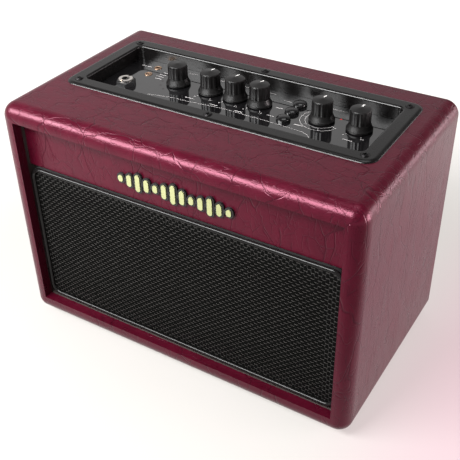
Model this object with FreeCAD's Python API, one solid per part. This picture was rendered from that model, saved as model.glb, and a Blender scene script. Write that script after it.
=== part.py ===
import FreeCAD
import Part
import math
import os

# Guitar practice amplifier: a vinyl-covered board cabinet with a grille and two small
# speakers in front, and a sunk control panel with knobs, buttons and sockets on top.
# Millimetres. +Z is up, the grille faces -Y, the origin is on the floor under the middle.

V = FreeCAD.Vector

# ---------------------------------------------------------------- cabinet
CAB_W = 340.0
CAB_D = 194.0
CAB_H = 225.0
FOOT_H = 6.0
BOARD_T = 13.0
BOTTOM_T = 15.0
COVER_T = 1.0
EDGE_R = 12.5
BACK_EDGE_R = 1.5
FRONT_WRAP = 9.0
BACK_WRAP = 12.0
BATTEN = 12.0

# ---------------------------------------------------------------- front
RAIL_SET_BACK = 13.0
RAIL_T = 5.0
RAIL_H = 47.0
BAFFLE_T = 12.0
BEAD_SET_BACK = 9.0
BEAD_R = 2.1
BEAD_CORNER_R = 9.0
CLOTH_T = 0.8
FRAME_BAR = 14.0
BADGE_T = 2.0
BADGE_EDGE = 1.7
BADGE_BAR_W = 4.6
BADGE_BAR_T = 0.9
BADGE_PITCH = 8.7
BADGE_X = 2.0
BADGE_DROP = 5.0
BADGE_HEIGHTS = [6.0, 10.5, 15.5, 11.0, 7.0, 12.5, 17.0, 12.5, 7.0, 11.0, 15.5, 10.5, 6.0]

# ---------------------------------------------------------------- speakers
SPEAKER_X = 75.0
SPEAKER_FLANGE = 77.0
SPEAKER_CORNER_R = 14.0
SPEAKER_FLANGE_T = 2.7
SPEAKER_SCREW = 31.0
BASKET_R = 34.6
BASKET_REAR_R = 22.0
BASKET_DEPTH = 26.0
BASKET_WALL = 1.8
BASKET_WINDOWS = 6
TAG_D = 4.5
CONE_R = 29.0
CONE_T = 0.6
SURROUND_W = 4.4
SURROUND_T = 0.6
COIL_R = 9.9
COIL_WALL = 0.4
CONE_TRAVEL = 1.5
MAGNET_R = 28.0
MAGNET_T = 12.0
PLATE_T = 4.0

# ---------------------------------------------------------------- top bezel and panel
BEZEL_SIDE_GAP = 21.7
BEZEL_BACK_GAP = 22.3
BEZEL_D = 110.8
BEZEL_T = 1.8
BEZEL_CORNER_R = 11.0
BEZEL_EDGE_R = 4.3
BEZEL_BAR_X = 14.1
BEZEL_BAR_Y = 14.2
TRAY_CORNER_R = 5.0
TRAY_LIP_R = 2.0
TRAY_WALL = 2.2
TRAY_FLOOR = 2.0
PANEL_DEPTH = 12.8
PANEL_T = 2.0
BOARD_GAP = 7.0
PCB_T = 1.6
BEZEL_SCREW_INSET_X = 10.9
BEZEL_SCREW_INSET_Y = 9.9
BEZEL_MID_INSET_Y = 7.4

# ---------------------------------------------------------------- controls
# places across the panel, counted from its middle, and back from its middle line
KNOB_ROW = 10.2
KNOB_PLACES = {
    "voice": -69.3,
    "gain": -34.5,
    "volume": -9.0,
    "tone": 15.5,
    "effect": 75.0,
    "level": 109.0,
}
KNOB_R = 8.85
SKIRT_R = 11.15
SKIRT_EDGE = 1.5
SKIRT_H = 6.2
KNOB_H = 18.4
KNOB_DOME = 1.1
KNOB_GAP = 0.9
KNOB_FLUTES = 12
FLUTE_R = 3.2
FLUTE_DEPTH = 0.35
SHAFT_R = 3.0
SHAFT_FLAT = 1.5
SHAFT_H = 16.0
BUSHING_R = 3.5
POT_W = 9.8
POT_D = 11.2
ENCODER_W = 12.4
BUTTON_X = 47.0
BUTTON_PITCH = 15.2
BUTTON_R = 6.1
BUTTON_RIM = 2.0
BUTTON_DOME = 2.2
BUTTON_TRAVEL = 1.0
COLLAR_R = 7.1
COLLAR_T = 1.9
TACT_W = 6.2
TACT_H = 3.4
STEM_R = 1.6
STEM_DIP = 0.8
JACK_X = -111.0
JACK_ROW = -13.3
JACK_BORE_R = 3.2
JACK_BUSHING_R = 5.9
JACK_BODY_W = 17.0
JACK_DEPTH = 26.0
JACK_NUT_AF = 16.5
JACK_NUT_H = 4.5
JACK_RING_R = 7.0
JACK_RING_H = 1.5
SMALL_JACK_X = -106.0
SMALL_JACK_ROW = 14.2
SMALL_JACK_PITCH = 15.3
SMALL_JACK_BORE_R = 1.8
SMALL_JACK_RING_R = 3.75
SMALL_JACK_BODY_W = 9.0
SMALL_JACK_DEPTH = 14.0
RING_PROUD = 0.6
LIGHT_R = 1.1
VOICE_LIGHT_R = 16.4
VOICE_LIGHT_ANGLES = [247, 217, 187, 157, 127, 97]
STATUS_LIGHTS = [(57.6, 14.6), (88.2, 19.8)]

# ---------------------------------------------------------------- rear, feet and inside
REAR_T = 9.0
REAR_RECESS = 5.0
INLET_X = -70.0
INLET_Z = 30.0
INLET_BODY_R = 5.4
INLET_FLANGE_R = 7.5
INLET_BORE_R = 2.85
INLET_PIN_R = 1.0
SWITCH_X = -110.0
SWITCH_W = 12.6
SWITCH_H = 19.0
SWITCH_DEPTH = 17.0
SWITCH_BEZEL = 1.6
ROCKER_TILT = 7.0
ROCKER_PIN_R = 1.4
FOOT_R = 10.0
FOOT_INSET = 34.0
MAIN_W = 120.0
MAIN_D = 56.0
MAIN_LIFT = 8.0
SCREW_R = 1.7
SCREW_HEAD_R = 3.6
SCREW_HEAD_H = 2.4
SCREW_LEN = 16.0
CROSS_W = 1.0
CROSS_LEN = 3.8
LEAD_R = 1.5
LEAD_BEND_R = 16.0
RIBBON_X = 34.0
RIBBON_W = 16.0
RIBBON_T = 0.9

# ---------------------------------------------------------------- clearances
FIT = 0.5
SLIP = 0.25
RUN = 0.05
SNUG = 0.02

# ---------------------------------------------------------------- worked-out places
half_w = CAB_W / 2
half_d = CAB_D / 2
front = -half_d
back = half_d
under = FOOT_H
top = FOOT_H + CAB_H
inner_x = half_w - COVER_T - BOARD_T
floor_z = under + COVER_T + BOTTOM_T
ceil_z = top - COVER_T - BOARD_T
mouth_x = inner_x - COVER_T
mouth_z0 = floor_z + COVER_T
mouth_z1 = ceil_z - COVER_T
rail_face = front + RAIL_SET_BACK
rail_z0 = mouth_z1 - RAIL_H
baffle_front = rail_face + COVER_T + RAIL_T
baffle_back = baffle_front + BAFFLE_T
bead_y = front + BEAD_SET_BACK + BEAD_R
cloth_front = bead_y
frame_front = cloth_front + CLOTH_T
grille_z0 = mouth_z0 + FIT
grille_z1 = rail_z0 - FIT
grille_x = mouth_x - FIT
speaker_z = (grille_z0 + grille_z1) / 2
basket_front = baffle_front - SPEAKER_FLANGE_T
basket_rear = baffle_front + BASKET_DEPTH
bezel_x = half_w - BEZEL_SIDE_GAP
bezel_y = back - BEZEL_BACK_GAP - BEZEL_D / 2
bezel_top = top + BEZEL_T
tray_x = bezel_x - BEZEL_BAR_X
tray_y = BEZEL_D / 2 - BEZEL_BAR_Y
panel_z = bezel_top - PANEL_DEPTH
panel_under = panel_z - PANEL_T
tray_under = panel_under - TRAY_FLOOR
pcb_top = tray_under - BOARD_GAP
pcb_under = pcb_top - PCB_T
knob_y = bezel_y + KNOB_ROW
rear_face = back - REAR_RECESS
rear_front = rear_face - REAR_T
knob_z = panel_z + KNOB_GAP
main_z = floor_z + MAIN_LIFT
main_back = rear_front - BATTEN - FIT


# ---------------------------------------------------------------- helpers
def box(x0, x1, y0, y1, z0, z1):
    return Part.makeBox(x1 - x0, y1 - y0, z1 - z0, V(x0, y0, z0))


def rod(r, x, y, z0, z1):
    return Part.makeCylinder(r, z1 - z0, V(x, y, z0), V(0, 0, 1))


def rod_y(r, x, z, y0, y1):
    return Part.makeCylinder(r, y1 - y0, V(x, y0, z), V(0, 1, 0))


def edges_along(shape, axis):
    # the straight edges of a block that run along one axis
    found = []
    for edge in shape.Edges:
        d = edge.Vertexes[-1].Point.sub(edge.Vertexes[0].Point)
        if d.Length > 0 and abs(d.dot(axis)) > 0.999 * d.Length:
            found.append(edge)
    return found


def edges_at(shape, axis, value):
    # the edges that lie wholly in the plane at this value along the axis
    found = []
    for edge in shape.Edges:
        b = edge.BoundBox
        low = b.XMin * axis.x + b.YMin * axis.y + b.ZMin * axis.z
        high = b.XMax * axis.x + b.YMax * axis.y + b.ZMax * axis.z
        if abs(low - value) < 1e-4 and abs(high - value) < 1e-4:
            found.append(edge)
    return found


def slab(hx, hy, r, z0, z1, cx=0.0, cy=0.0):
    # a flat block with round corners, standing on z0
    block = box(cx - hx, cx + hx, cy - hy, cy + hy, z0, z1)
    return block.makeFillet(r, edges_along(block, V(0, 0, 1)))


def upright(hx, z0, z1, r, y0, y1, cx=0.0):
    # a panel with round corners that faces the front
    block = box(cx - hx, cx + hx, y0, y1, z0, z1)
    return block.makeFillet(r, edges_along(block, V(0, 1, 0)))


def spin(points, x, y):
    # a solid turned round the upright axis through x, y from (radius, height) points
    path = [V(r, 0, z) for r, z in points]
    path.append(path[0])
    face = Part.Face(Part.makePolygon(path))
    return face.revolve(V(0, 0, 0), V(0, 0, 1), 360).translated(V(x, y, 0))


def spin_y(points, x, z):
    # a solid turned round the front-to-back axis through x, z from (radius, depth) points
    path = [V(r, y, 0) for r, y in points]
    path.append(path[0])
    face = Part.Face(Part.makePolygon(path))
    return face.revolve(V(0, 0, 0), V(0, 1, 0), 360).translated(V(x, 0, z))


def around(shape, count, x, y, first=0.0):
    # copies of a shape turned round the upright axis through x, y
    copies = []
    for i in range(count):
        copies.append(shape.rotated(V(x, y, 0), V(0, 0, 1), first + 360.0 * i / count))
    return copies


def group(solids):
    return Part.makeCompound(solids)


def shell_block(inset):
    # the cabinet's outer block, inset all round, round on its long and front edges
    block = box(-half_w + inset, half_w - inset, front + inset, back - inset,
                under + inset, top - inset)
    soft = edges_along(block, V(0, 1, 0)) + edges_at(block, V(0, 1, 0), front + inset)
    return block.makeFillet(EDGE_R - inset, soft)


def cross_slot(x, y, z, depth):
    # the cross recess of a screw whose head faces up
    a = box(x - CROSS_LEN / 2, x + CROSS_LEN / 2, y - CROSS_W / 2, y + CROSS_W / 2, z - depth, z + 1)
    b = box(x - CROSS_W / 2, x + CROSS_W / 2, y - CROSS_LEN / 2, y + CROSS_LEN / 2, z - depth, z + 1)
    return a.fuse(b)


def pan_screw(length):
    # a pan-head screw standing on its tip's axis: head underside at z 0, tip below
    head = spin([(0, 0), (SCREW_HEAD_R, 0), (SCREW_HEAD_R, SCREW_HEAD_H * 0.45),
                 (SCREW_HEAD_R * 0.72, SCREW_HEAD_H * 0.88), (0, SCREW_HEAD_H)], 0, 0)
    shank = spin([(0, 0.1), (SCREW_R, 0.1), (SCREW_R, -length + 3), (0, -length)], 0, 0)
    return head.fuse(shank).cut(cross_slot(0, 0, SCREW_HEAD_H, 1.3))


def placed(shape, pos, facing):
    # turns a shape's +Z to face along a direction, then moves its origin to pos
    turn = FreeCAD.Rotation(V(0, 0, 1), facing)
    return shape.transformGeometry(FreeCAD.Placement(pos, turn).toMatrix())


def holes(points, r, z0, z1):
    return group([rod(r, x, y, z0, z1) for x, y in points])


# ---------------------------------------------------------------- hole and screw places
bezel_corners = []
for sx in (-1, 1):
    for sy in (-1, 1):
        bezel_corners.append((sx * (bezel_x - BEZEL_SCREW_INSET_X),
                              bezel_y + sy * (BEZEL_D / 2 - BEZEL_SCREW_INSET_Y)))
bezel_points = bezel_corners + [(0.0, bezel_y - BEZEL_D / 2 + BEZEL_MID_INSET_Y),
                                (0.0, bezel_y + BEZEL_D / 2 - BEZEL_MID_INSET_Y)]
knob_points = {name: (x, knob_y) for name, x in KNOB_PLACES.items()}
pot_names = ["gain", "volume", "tone", "effect", "level"]
button_points = {
    "reverb": (BUTTON_X, knob_y - BUTTON_PITCH),
    "delay": (BUTTON_X, knob_y),
    "tap": (BUTTON_X, knob_y + BUTTON_PITCH),
}
jack_point = (JACK_X, bezel_y + JACK_ROW)
small_jack_points = [(SMALL_JACK_X, bezel_y + SMALL_JACK_ROW),
                     (SMALL_JACK_X, bezel_y + SMALL_JACK_ROW + SMALL_JACK_PITCH)]
light_points = []
for angle in VOICE_LIGHT_ANGLES:
    a = math.radians(angle)
    light_points.append((KNOB_PLACES["voice"] + VOICE_LIGHT_R * math.cos(a),
                         knob_y + VOICE_LIGHT_R * math.sin(a)))
for x, back_from_middle in STATUS_LIGHTS:
    light_points.append((x, bezel_y + back_from_middle))
post_points = [(sx * (tray_x - 9.0), bezel_y + sy * (tray_y - 9.0)) for sx in (-1, 1) for sy in (-1, 1)]
foot_points = [(sx * (half_w - FOOT_INSET), sy * (half_d - FOOT_INSET)) for sx in (-1, 1) for sy in (-1, 1)]
speaker_points = [(sx * SPEAKER_X, speaker_z) for sx in (-1, 1)]
speaker_screws = []
for cx, cz in speaker_points:
    for sx in (-1, 1):
        for sz in (-1, 1):
            speaker_screws.append((cx + sx * SPEAKER_SCREW, cz + sz * SPEAKER_SCREW))
rear_screws = []
for sx in (-1, 1):
    for z in (floor_z + BATTEN / 2, (floor_z + ceil_z) / 2, ceil_z - BATTEN / 2):
        rear_screws.append((sx * (inner_x - BATTEN / 2), z))
rear_screws += [(0.0, floor_z + BATTEN / 2), (0.0, ceil_z - BATTEN / 2)]


# ---------------------------------------------------------------- cabinet
def tray_hole(grow, z0, z1):
    return slab(tray_x + TRAY_WALL + grow, tray_y + TRAY_WALL + grow, TRAY_CORNER_R + TRAY_WALL + grow,
                z0, z1, 0, bezel_y)


def top_board(core):
    board = core.common(box(-half_w, half_w, front, back, ceil_z, top))
    board = board.cut(tray_hole(FIT, ceil_z - 1, top + 1))
    return board.cut(holes(bezel_points, SCREW_R + SNUG, ceil_z, top))


def bottom_board(core):
    board = core.common(box(-half_w, half_w, front, back, under, floor_z))
    return board.cut(holes(foot_points, SCREW_R + SNUG, under, under + SCREW_LEN))


def side_board(core, side):
    x0, x1 = sorted((side * inner_x, side * half_w))
    return core.common(box(x0, x1, front, back, floor_z, ceil_z))


def battens():
    strips = []
    rows = ((baffle_back, baffle_back + BATTEN), (rear_front - BATTEN, rear_front))
    for y0, y1 in rows:
        strips.append(box(-inner_x, inner_x, y0, y1, floor_z, floor_z + BATTEN))
        strips.append(box(-inner_x, inner_x, y0, y1, ceil_z - BATTEN, ceil_z))
        for side in (-1, 1):
            x0, x1 = sorted((side * inner_x, side * (inner_x - BATTEN)))
            strips.append(box(x0, x1, y0, y1, floor_z + BATTEN, ceil_z - BATTEN))
    drill = [rod_y(SCREW_R + SNUG, x, z, rear_front - SCREW_LEN, back) for x, z in rear_screws]
    return group([strip.cut(group(drill)) for strip in strips])


def vinyl_cover(core):
    # one skin over the outside, folded round the front and back edges into the box
    outer = shell_block(0.0)
    outer = outer.makeFillet(BACK_EDGE_R, edges_at(outer, V(0, 1, 0), back))
    skin = outer.cut(core)
    for y0, y1 in ((front, front + FRONT_WRAP), (back - BACK_WRAP, back)):
        skin = skin.fuse(box(-inner_x, inner_x, y0, y1, floor_z, ceil_z))
    skin = skin.cut(box(-mouth_x, mouth_x, front - 1, back + 1, mouth_z0, mouth_z1))
    skin = skin.cut(tray_hole(FIT, ceil_z + COVER_T, top + 1))
    skin = skin.cut(holes(bezel_points, SCREW_R + SNUG, ceil_z, top + 1))
    skin = skin.cut(holes(foot_points, SCREW_R + SNUG, under - 1, floor_z))
    return skin.removeSplitter()


# ---------------------------------------------------------------- front
def baffle_board():
    board = box(-inner_x + FIT, inner_x - FIT, baffle_front, baffle_back, floor_z + FIT, ceil_z - FIT)
    cutters = [rod_y(BASKET_R + FIT, x, z, baffle_front - 1, baffle_back + 1) for x, z in speaker_points]
    cutters += [rod_y(SCREW_R + SNUG, x, z, baffle_front - 1, baffle_back + 1) for x, z in speaker_screws]
    return board.cut(group(cutters))


def rail_board():
    wide = inner_x - FIT
    return box(-wide, wide, rail_face + COVER_T, baffle_front, rail_z0 + COVER_T, ceil_z - FIT)


def rail_cover():
    outer = box(-inner_x + FIT, inner_x - FIT, rail_face, baffle_front, rail_z0, ceil_z - FIT)
    low_front = [e for e in edges_at(outer, V(0, 0, 1), rail_z0) if abs(e.BoundBox.YMax - rail_face) < 1e-4]
    outer = outer.makeFillet(COVER_T, low_front)
    return outer.cut(rail_board())


def bead_loop(r):
    # the round bead that runs round the edge of the grille
    cx = grille_x - BEAD_R
    z0 = grille_z0 + BEAD_R
    z1 = grille_z1 - BEAD_R
    c = BEAD_CORNER_R
    pieces = []
    for z in (z0, z1):
        pieces.append(Part.makeCylinder(r, 2 * (cx - c), V(-cx + c, bead_y, z), V(1, 0, 0)))
    for side in (-1, 1):
        pieces.append(Part.makeCylinder(r, z1 - z0 - 2 * c, V(side * cx, bead_y, z0 + c), V(0, 0, 1)))
    quarter = Part.makeTorus(c, r, V(0, 0, 0), V(0, -1, 0), 0, 360, 90)
    corners = ((1, z0 + c, -45), (1, z1 - c, 45), (-1, z1 - c, 135), (-1, z0 + c, 225))
    for side, z, heading in corners:
        bend = quarter.rotated(V(0, 0, 0), V(0, -1, 0), heading - heading_of(quarter))
        pieces.append(bend.translated(V(side * (cx - c), bead_y, z)))
    loop = pieces[0]
    for piece in pieces[1:]:
        loop = loop.fuse(piece)
    return loop.removeSplitter()


def heading_of(shape):
    # the direction of a shape's middle in the X-Z plane, in degrees
    c = shape.CenterOfMass
    return math.degrees(math.atan2(c.z, c.x))


def grille_frame():
    ring = upright(grille_x, grille_z0, grille_z1, BEAD_CORNER_R + BEAD_R, frame_front, baffle_front)
    hole = upright(grille_x - FRAME_BAR, grille_z0 + FRAME_BAR, grille_z1 - FRAME_BAR, BEAD_R,
                   frame_front - 1, baffle_front + 1)
    return ring.cut(hole).cut(bead_loop(BEAD_R))


def grille_cloth():
    inset = BEAD_R
    sheet = upright(grille_x - inset, grille_z0 + inset, grille_z1 - inset, BEAD_CORNER_R,
                    cloth_front, frame_front)
    return sheet.cut(bead_loop(BEAD_R + SNUG))


def badge_shape(grow, y0, y1):
    # a row of upright bars with round ends, like a sound wave
    bars = []
    cz = (rail_z0 + mouth_z1) / 2 - BADGE_DROP
    first = BADGE_X - BADGE_PITCH * (len(BADGE_HEIGHTS) - 1) / 2
    for i, height in enumerate(BADGE_HEIGHTS):
        x = first + BADGE_PITCH * i
        hw = BADGE_BAR_W / 2 + grow
        hh = height / 2 + grow
        bars.append(upright(hw, cz - hh, cz + hh, hw * 0.98, y0, y1, x))
    return bars


def badge_plate():
    bars = badge_shape(BADGE_EDGE, rail_face - BADGE_T, rail_face)
    cz = (rail_z0 + mouth_z1) / 2 - BADGE_DROP
    span = BADGE_PITCH * (len(BADGE_HEIGHTS) - 1) / 2
    plate = box(BADGE_X - span, BADGE_X + span, rail_face - BADGE_T, rail_face, cz - 1.5, cz + 1.5)
    for bar in bars:
        plate = plate.fuse(bar)
    return plate.removeSplitter()


def badge_bars():
    return group(badge_shape(0.0, rail_face - BADGE_T - BADGE_BAR_T, rail_face - BADGE_T))


# ---------------------------------------------------------------- speakers
def speaker_basket(x, z):
    plate = upright(SPEAKER_FLANGE / 2, z - SPEAKER_FLANGE / 2, z + SPEAKER_FLANGE / 2, SPEAKER_CORNER_R,
                    basket_front, baffle_front, x)
    bowl = spin_y([(0, baffle_front - 0.5), (BASKET_R, baffle_front - 0.5), (BASKET_R, baffle_front + 3),
                   (BASKET_REAR_R + BASKET_WALL, basket_rear), (0, basket_rear)], x, z)
    seat = CONE_R + SURROUND_W
    hollow = spin_y([(0, basket_front - 1), (seat, basket_front - 1), (seat, baffle_front - 0.7),
                     (seat - 0.8, baffle_front - 0.7), (seat - 0.8, baffle_front + 3),
                     (BASKET_REAR_R, basket_rear - BASKET_WALL), (COIL_R + 1.6, basket_rear - BASKET_WALL),
                     (COIL_R + 1.6, basket_rear + 1), (0, basket_rear + 1)], x, z)
    basket = plate.fuse(bowl).cut(hollow)
    window = box(x - 6.5, x + 6.5, baffle_front + 5, basket_rear - 4, z + COIL_R + 8, z + BASKET_R + 9)
    for i in range(BASKET_WINDOWS):
        basket = basket.cut(window.rotated(V(x, 0, z), V(0, 1, 0), 360.0 * i / BASKET_WINDOWS))
    drill = [rod_y(SCREW_R + SLIP, sx, sz, basket_front - 1, baffle_front + 1) for sx, sz in speaker_screws]
    tab_z = z - BASKET_REAR_R - BASKET_WALL
    tab = box(x - 5, x + 5, basket_rear - TAG_D, basket_rear, tab_z - 5, tab_z + 1.5)
    return basket.fuse(tab).cut(group(drill))


def speaker_magnet(x, z):
    y = basket_rear
    gap = 0.4
    outline = [(COIL_R + 0.5 + gap, y), (MAGNET_R - 3, y), (MAGNET_R - 3, y + PLATE_T),
               (MAGNET_R, y + PLATE_T), (MAGNET_R, y + PLATE_T + MAGNET_T),
               (MAGNET_R - 3, y + PLATE_T + MAGNET_T), (MAGNET_R - 3, y + 2 * PLATE_T + MAGNET_T),
               (0, y + 2 * PLATE_T + MAGNET_T), (0, y), (COIL_R - COIL_WALL - gap, y),
               (COIL_R - COIL_WALL - gap, y + PLATE_T + MAGNET_T), (COIL_R + 3, y + PLATE_T + MAGNET_T),
               (COIL_R + 3, y + PLATE_T), (COIL_R + 0.5 + gap, y + PLATE_T)]
    return spin_y(outline, x, z)


cone_edge = baffle_front - 1.6
cone_neck = cone_edge + 13.0


def speaker_cone(x, z):
    # a one-piece cone with its centre cap formed in
    t = CONE_T
    face = [(0, cone_neck - 4.2), (4, cone_neck - 3.6), (7.5, cone_neck - 1.9), (COIL_R, cone_neck),
            (16, cone_neck - 5.6), (23, cone_neck - 10.2), (CONE_R, cone_edge)]
    rear = [(r, y + t) for r, y in reversed(face)]
    return spin_y(face + rear, x, z)


def voice_coil(x, z):
    y0 = cone_neck + CONE_T + 0.75
    y1 = basket_rear + PLATE_T + CONE_TRAVEL
    wound = basket_rear - CONE_TRAVEL
    inner = COIL_R - COIL_WALL
    tube = spin_y([(inner, y0), (COIL_R, y0), (COIL_R, wound), (COIL_R + 0.5, wound),
                   (COIL_R + 0.5, y1), (inner, y1)], x, z)
    glue = spin_y([(inner, y0), (COIL_R + 0.9, y0 - 0.35), (COIL_R + 0.9, y0 + 0.6), (inner, y0 + 0.6)], x, z)
    return tube.fuse(glue).cut(speaker_cone(x, z))


def surround(x, z):
    # a half-round roll between the cone's edge and the basket
    r0 = CONE_R + SNUG
    r1 = CONE_R + SURROUND_W - SNUG
    y = cone_edge
    t = SURROUND_T
    mid = (r0 + r1) / 2
    roll = (r1 - r0) / 2 - 0.5
    outer = []
    inner = []
    for i in range(9):
        a = math.pi * i / 8
        outer.append((mid - roll * math.cos(a), y - roll * math.sin(a)))
        inner.append((mid - (roll - t) * math.cos(a), y + t - (roll - 0.2) * math.sin(a)))
    points = [(r0, y)] + outer + [(r1, y), (r1, y + t)] + list(reversed(inner)) + [(r0, y + t)]
    return spin_y(points, x, z)


def spider(x, z):
    # the corrugated disc that centres the coil
    y = basket_rear - 8.0
    t = 0.5
    r0 = COIL_R + SNUG
    slope = (BASKET_R - BASKET_REAR_R - BASKET_WALL) / (BASKET_DEPTH - 3)
    r1 = BASKET_REAR_R + slope * 6.2 - 0.6
    face = []
    steps = 12
    for i in range(steps + 1):
        r = r0 + (r1 - r0) * i / steps
        face.append((r, y + (0.7 if i % 2 else 0.0)))
    rear = [(r, h + t) for r, h in reversed(face)]
    return spin_y(face + rear, x, z)


# ---------------------------------------------------------------- top bezel and panel
def top_bezel():
    flare = BEZEL_EDGE_R - math.sqrt(BEZEL_EDGE_R ** 2 - (BEZEL_EDGE_R - BEZEL_T) ** 2)
    flange = slab(bezel_x + flare, BEZEL_D / 2 + flare, BEZEL_CORNER_R + flare, top - BEZEL_EDGE_R, bezel_top,
                  0, bezel_y)
    flange = flange.makeFillet(BEZEL_EDGE_R, edges_at(flange, V(0, 0, 1), bezel_top))
    flange = flange.common(box(-half_w, half_w, front, back, top, bezel_top + 1))
    bezel = flange.fuse(tray_hole(0.0, tray_under, top + 0.5))
    well = slab(tray_x, tray_y, TRAY_CORNER_R, panel_under, bezel_top + 1, 0, bezel_y)
    bezel = bezel.cut(well)
    lip = [e for e in edges_at(bezel, V(0, 0, 1), bezel_top)
           if e.BoundBox.XMax < tray_x + 1 and e.BoundBox.XMin > -tray_x - 1
           and e.BoundBox.YMax < bezel_y + tray_y + 1 and e.BoundBox.YMin > bezel_y - tray_y - 1]
    bezel = bezel.makeFillet(TRAY_LIP_R, lip)
    for x, y in post_points:
        bezel = bezel.fuse(rod(3.0, x, y, pcb_top, tray_under))
        bezel = bezel.fuse(rod(1.4, x, y, pcb_under - 1.2, tray_under))
    cutters = [holes(bezel_points, SCREW_R + SLIP, top - 1, bezel_top + 1)]
    cutters.append(holes(bezel_points, SCREW_HEAD_R + SLIP, bezel_top - 1.1, bezel_top + 1))
    cutters += panel_holes(SLIP, tray_under - 1, panel_under + 1)
    return bezel.cut(group(cutters))


def panel_holes(grow, z0, z1):
    found = [holes(knob_points.values(), BUSHING_R + SLIP + grow, z0, z1)]
    found.append(holes(button_points.values(), BUTTON_R + SLIP, z0, z1))
    found.append(holes([jack_point], JACK_BUSHING_R + SNUG + grow, z0, z1))
    found.append(holes(small_jack_points, SMALL_JACK_RING_R + SNUG + grow, z0, z1))
    found.append(holes(light_points, LIGHT_R + SNUG, z0, z1))
    return found


def control_panel():
    plate = slab(tray_x - SLIP, tray_y - SLIP, TRAY_CORNER_R - SLIP, panel_under, panel_z, 0, bezel_y)
    return plate.cut(group(panel_holes(0.0, panel_under - 1, panel_z + 1)))


def bezel_screws():
    made = []
    for x, y in bezel_points:
        made.append(pan_screw(SCREW_LEN - 3).translated(V(x, y, bezel_top - 1.1)))
    return group(made)


def control_board():
    board = slab(tray_x - 4, tray_y - 4, 2.0, pcb_under, pcb_top, 0, bezel_y)
    x, y = jack_point
    w = JACK_BODY_W / 2 + FIT
    board = board.cut(box(x - w, x + w, y - w, y + w, pcb_under - 1, pcb_top + 1))
    w = SMALL_JACK_BODY_W / 2 + FIT
    for x, y in small_jack_points:
        board = board.cut(box(x - w, x + w, y - w, y + w, pcb_under - 1, pcb_top + 1))
    return board.cut(holes(post_points, 1.4 + SNUG, pcb_under - 1, pcb_top + 1))


# ---------------------------------------------------------------- knobs, shafts and what they turn in
def shaft_form(r, flat, z0, z1):
    stem = rod(r, 0, 0, z0, z1)
    return stem.cut(box(-r, r, r - flat, r + 1, panel_z, z1 + 1))


def knob(x, y):
    z = knob_z
    rim = z + KNOB_H
    body = spin([(0, z), (SKIRT_R, z), (SKIRT_R, z + SKIRT_EDGE), (SKIRT_R - 0.5, z + SKIRT_EDGE + 0.5),
                 (KNOB_R + 0.55, z + SKIRT_H - 1.2), (KNOB_R + 0.15, z + SKIRT_H), (KNOB_R, rim - 0.7),
                 (KNOB_R - 0.6, rim), (0, rim + KNOB_DOME)], 0, 0)
    flute = rod(FLUTE_R, KNOB_R + FLUTE_R - FLUTE_DEPTH, 0, z + SKIRT_H, rim + KNOB_DOME + 1)
    body = body.cut(group(around(flute, KNOB_FLUTES, 0, 0, 180.0 / KNOB_FLUTES)))
    body = body.cut(rod(BUSHING_R + 1.5, 0, 0, z - 1, z + 3))
    body = body.cut(shaft_form(SHAFT_R + SNUG, SHAFT_FLAT - SNUG, z, panel_z + SHAFT_H + SNUG))
    return body.translated(V(x, y, 0))


def shaft(x, y):
    stem = shaft_form(SHAFT_R, SHAFT_FLAT, pcb_top + 1.2, panel_z + SHAFT_H)
    rotor = rod(SHAFT_R + 1.0, 0, 0, pcb_top + 1.2, pcb_top + 2.6)
    return stem.fuse(rotor).translated(V(x, y, 0))


def pot_body(x, y, w, d):
    z1 = tray_under - SLIP
    body = box(x - w / 2, x + w / 2, y - d / 2, y + d / 2, pcb_top, z1)
    body = body.fuse(rod(BUSHING_R, x, y, z1 - 1, panel_z - SLIP))
    body = body.cut(rod(SHAFT_R + RUN, x, y, pcb_top + 1, panel_z + 1))
    return body.cut(rod(SHAFT_R + 1.0 + SLIP, x, y, pcb_top + 0.9, pcb_top + 2.9))


def button(x, y):
    z = panel_z + BUTTON_RIM
    r = BUTTON_R
    dome = []
    for i in range(7):
        a = math.pi / 2 * i / 6
        dome.append((r * math.cos(a), z + BUTTON_DOME * math.sin(a)))
    collar = tray_under - SLIP
    rim = [(0, collar - COLLAR_T), (COLLAR_R, collar - COLLAR_T), (COLLAR_R, collar), (r, collar)]
    body = spin(rim + dome, x, y)
    stem = rod(STEM_R, x, y, pcb_top + TACT_H - STEM_DIP, collar - COLLAR_T + 0.1)
    return body.fuse(stem)


def tact_switch(x, y):
    body = box(x - TACT_W / 2, x + TACT_W / 2, y - TACT_W / 2, y + TACT_W / 2, pcb_top, pcb_top + TACT_H)
    low = pcb_top + TACT_H - STEM_DIP - BUTTON_TRAVEL - SLIP
    return body.cut(rod(STEM_R + SLIP, x, y, low, pcb_top + TACT_H + 1))


# ---------------------------------------------------------------- sockets and lights
def input_jack():
    x, y = jack_point
    w = JACK_BODY_W / 2
    z1 = tray_under - SLIP
    body = box(x - w, x + w, y - w, y + w, z1 - JACK_DEPTH, z1)
    body = body.fuse(rod(JACK_BUSHING_R, x, y, z1 - 1, panel_z + JACK_NUT_H))
    return body.cut(rod(JACK_BORE_R, x, y, z1 - JACK_DEPTH + 1.5, panel_z + JACK_NUT_H + 1))


def input_jack_nut():
    x, y = jack_point
    r = JACK_NUT_AF / math.sqrt(3)
    corners = []
    for i in range(7):
        a = math.pi / 3 * i
        corners.append(V(x + r * math.cos(a), y + r * math.sin(a), panel_z))
    nut = Part.Face(Part.makePolygon(corners)).extrude(V(0, 0, JACK_NUT_H))
    crown = spin([(0, panel_z - 1), (r + 1.2, panel_z - 1), (r + 1.2, panel_z + JACK_NUT_H - 2.2),
                  (r - 2.0, panel_z + JACK_NUT_H), (0, panel_z + JACK_NUT_H)], x, y)
    return nut.common(crown).cut(rod(JACK_BUSHING_R + SNUG, x, y, panel_z - 1, top + 9))


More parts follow.
